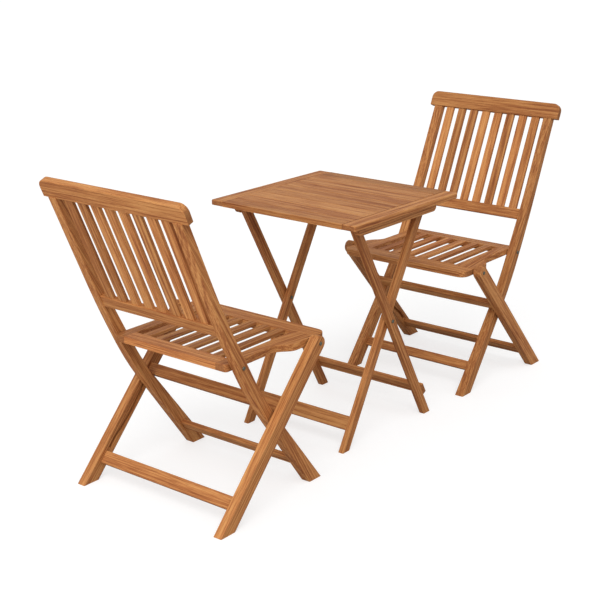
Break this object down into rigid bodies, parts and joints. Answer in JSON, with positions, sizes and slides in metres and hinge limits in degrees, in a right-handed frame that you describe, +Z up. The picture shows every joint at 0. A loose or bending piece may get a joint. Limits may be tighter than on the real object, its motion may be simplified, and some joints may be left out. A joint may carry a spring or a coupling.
{
  "type": "patio dining set",
  "caption": "Folding slatted wood patio set: square table on crossed legs and matching folding chairs with slatted seats and upright-slat backs.",
  "frame": {"origin": "middle of the footprint of the whole set, on the floor", "axes": "+Z up, +Y from the near chair through the table to the far chair, +X along the slats of the table top"},
  "size_m": [0.5404, 1.8708, 0.892],
  "materials": {
    "wood_frame": "oiled hardwood, satin",
    "wood_slats": "oiled hardwood, satin",
    "steel": "zinc-plated bolts"
  },
  "bodies": {
    "table_outer_frame": {"table_outer_leg_left": "wood_frame", "table_outer_leg_right": "wood_frame", "table_far_stretcher": "wood_frame", "table_top_pivot_bolts": "steel", "table_cross_bolts": "steel"},
    "table_inner_frame": {"table_inner_leg_left": "wood_frame", "table_inner_leg_right": "wood_frame", "table_near_stretcher": "wood_frame"},
    "table_top": {"table_end_board_left": "wood_frame", "table_end_board_right": "wood_frame", "table_apron_left": "wood_frame", "table_apron_right": "wood_frame", "table_slat_1": "wood_slats", "table_slat_2": "wood_slats", "table_slat_3": "wood_slats", "table_slat_4": "wood_slats", "table_slat_5": "wood_slats", "table_slat_6": "wood_slats", "table_slat_7": "wood_slats", "table_slat_8": "wood_slats", "table_slat_9": "wood_slats"},
    "near_back_frame": {"near_stile_left": "wood_frame", "near_stile_right": "wood_frame", "near_cap_rail": "wood_frame", "near_lower_back_rail": "wood_frame", "near_back_slats": "wood_slats", "near_front_stretcher": "wood_frame", "near_seat_pivot_bolts": "steel", "near_slide_pins": "steel"},
    "near_seat": {"near_seat_rail_left": "wood_frame", "near_seat_rail_right": "wood_frame", "near_seat_front_rail": "wood_frame", "near_seat_rear_rail": "wood_frame", "near_seat_slats": "wood_slats"},
    "near_rear_leg_frame": {"near_rear_leg_left": "wood_frame", "near_rear_leg_right": "wood_frame", "near_stop_rail": "wood_frame", "near_rear_stretcher": "wood_frame", "near_leg_pivot_bolts": "steel"},
    "far_back_frame": {"far_stile_left": "wood_frame", "far_stile_right": "wood_frame", "far_cap_rail": "wood_frame", "far_lower_back_rail": "wood_frame", "far_back_slats": "wood_slats", "far_front_stretcher": "wood_frame", "far_seat_pivot_bolts": "steel", "far_slide_pins": "steel"},
    "far_seat": {"far_seat_rail_left": "wood_frame", "far_seat_rail_right": "wood_frame", "far_seat_front_rail": "wood_frame", "far_seat_rear_rail": "wood_frame", "far_seat_slats": "wood_slats"},
    "far_rear_leg_frame": {"far_rear_leg_left": "wood_frame", "far_rear_leg_right": "wood_frame", "far_stop_rail": "wood_frame", "far_rear_stretcher": "wood_frame", "far_leg_pivot_bolts": "steel"}
  },
  "joints": [
    {"name": "table_fold", "type": "hinge", "parent": "table_outer_frame", "child": "table_inner_frame", "pos_m": [0.004, -0.0055, 0.358], "axis": [1, 0, 0], "range_deg": [0, 52]},
    {"name": "table_top_tilt", "type": "hinge", "parent": "table_outer_frame", "child": "table_top", "pos_m": [0.004, -0.188, 0.676], "axis": [1, 0, 0], "range_deg": [0, 26]},
    {"name": "near_chair_pull_out", "type": "slide", "parent": "table_outer_frame", "child": "near_back_frame", "axis": [0, -1, 0], "range_m": [0, 0.4]},
    {"name": "near_seat_fold", "type": "hinge", "parent": "near_back_frame", "child": "near_seat", "pos_m": [0, -0.7055, 0.4193], "axis": [1, 0, 0], "range_deg": [0, 60]},
    {"name": "near_leg_fold", "type": "hinge", "parent": "near_seat", "child": "near_rear_leg_frame", "pos_m": [0, -0.428, 0.417], "axis": [1, 0, 0], "range_deg": [-20.7, 0]},
    {"name": "far_chair_pull_out", "type": "slide", "parent": "table_outer_frame", "child": "far_back_frame", "axis": [0, 1, 0], "range_m": [0, 0.4]},
    {"name": "far_seat_fold", "type": "hinge", "parent": "far_back_frame", "child": "far_seat", "pos_m": [0, 0.7055, 0.4193], "axis": [-1, 0, 0], "range_deg": [0, 60]},
    {"name": "far_leg_fold", "type": "hinge", "parent": "far_seat", "child": "far_rear_leg_frame", "pos_m": [0, 0.428, 0.417], "axis": [-1, 0, 0], "range_deg": [-20.7, 0]}
  ],
  "couplings": [
    {"joint": "table_top_tilt", "follows": "table_fold", "ratio": 0.5},
    {"joint": "near_leg_fold", "follows": "near_seat_fold", "ratio": -0.344},
    {"joint": "far_leg_fold", "follows": "far_seat_fold", "ratio": -0.344}
  ]
}
